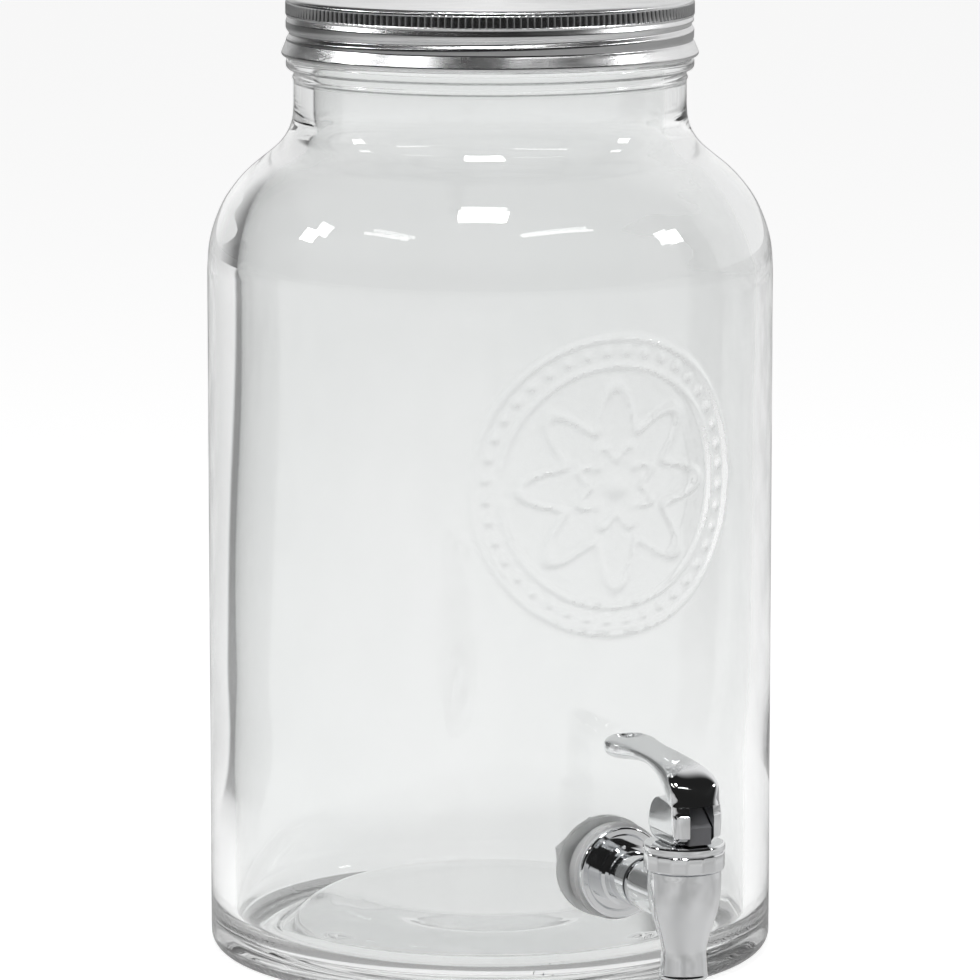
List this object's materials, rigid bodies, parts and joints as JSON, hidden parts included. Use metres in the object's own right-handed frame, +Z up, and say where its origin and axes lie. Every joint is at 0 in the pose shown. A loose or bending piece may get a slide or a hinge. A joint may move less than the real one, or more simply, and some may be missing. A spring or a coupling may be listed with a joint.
{
  "type": "detergent dispenser bottle",
  "caption": "Clear glass dispenser jar with a rounded shoulder, a knurled metal screw lid and a chrome lever tap near its foot, for serving or dosing liquids.",
  "frame": {"origin": "centre of the ring the jar stands on, on the jar's axis", "axes": "+Z up along the jar's axis, -Y out through the tap, X across the tap"},
  "size_m": [0.156, 0.2074, 0.2654],
  "materials": {
    "clear_glass": "polished clear glass",
    "lid_metal": "bright tinplate",
    "liner": "matte",
    "tap_chrome": "polished chrome plate",
    "dark_seal": "matte",
    "clear_seal": "pale translucent silicone",
    "nut_plastic": "matte white",
    "stem_plastic": "satin grey",
    "pin_metal": "satin"
  },
  "bodies": {
    "jar": {"glass_jar": "clear_glass", "tap_shank": "tap_chrome", "tap_body": "tap_chrome", "neck_gasket": "dark_seal", "outer_washer": "clear_seal", "inner_washer": "clear_seal", "lock_nut": "nut_plastic", "bonnet": "tap_chrome", "seat_cup": "clear_seal"},
    "liner": {"lid_liner": "liner"},
    "lid": {"lid_shell": "lid_metal"},
    "stem": {"valve_stem": "stem_plastic"},
    "lever": {"lever": "tap_chrome", "pivot_pin": "pin_metal"}
  },
  "joints": [
    {"name": "lid_lift", "type": "slide", "parent": "jar", "child": "liner", "axis": [0, 0, 1], "range_m": [0, 0.0306]},
    {"name": "lid_turn", "type": "hinge", "parent": "liner", "child": "lid", "pos_m": [0, 0, 0.2573], "axis": [0, 0, 1], "range_deg": [0, 2160]},
    {"name": "stem_lift", "type": "slide", "parent": "jar", "child": "stem", "axis": [0, 0, 1], "range_m": [0, 0.0041], "deforming": ["seat_cup"]},
    {"name": "lever_pull", "type": "hinge", "parent": "stem", "child": "lever", "pos_m": [0, -0.1186, 0.0563], "axis": [1, 0, 0], "range_deg": [0, 40], "stiffness_Nm_per_rad": 0.2}
  ],
  "couplings": [
    {"joint": "lid_lift", "follows": "lid_turn", "m_per_rad": 0.00080851},
    {"joint": "stem_lift", "follows": "lever_pull", "m_per_rad": 0.00581}
  ]
}
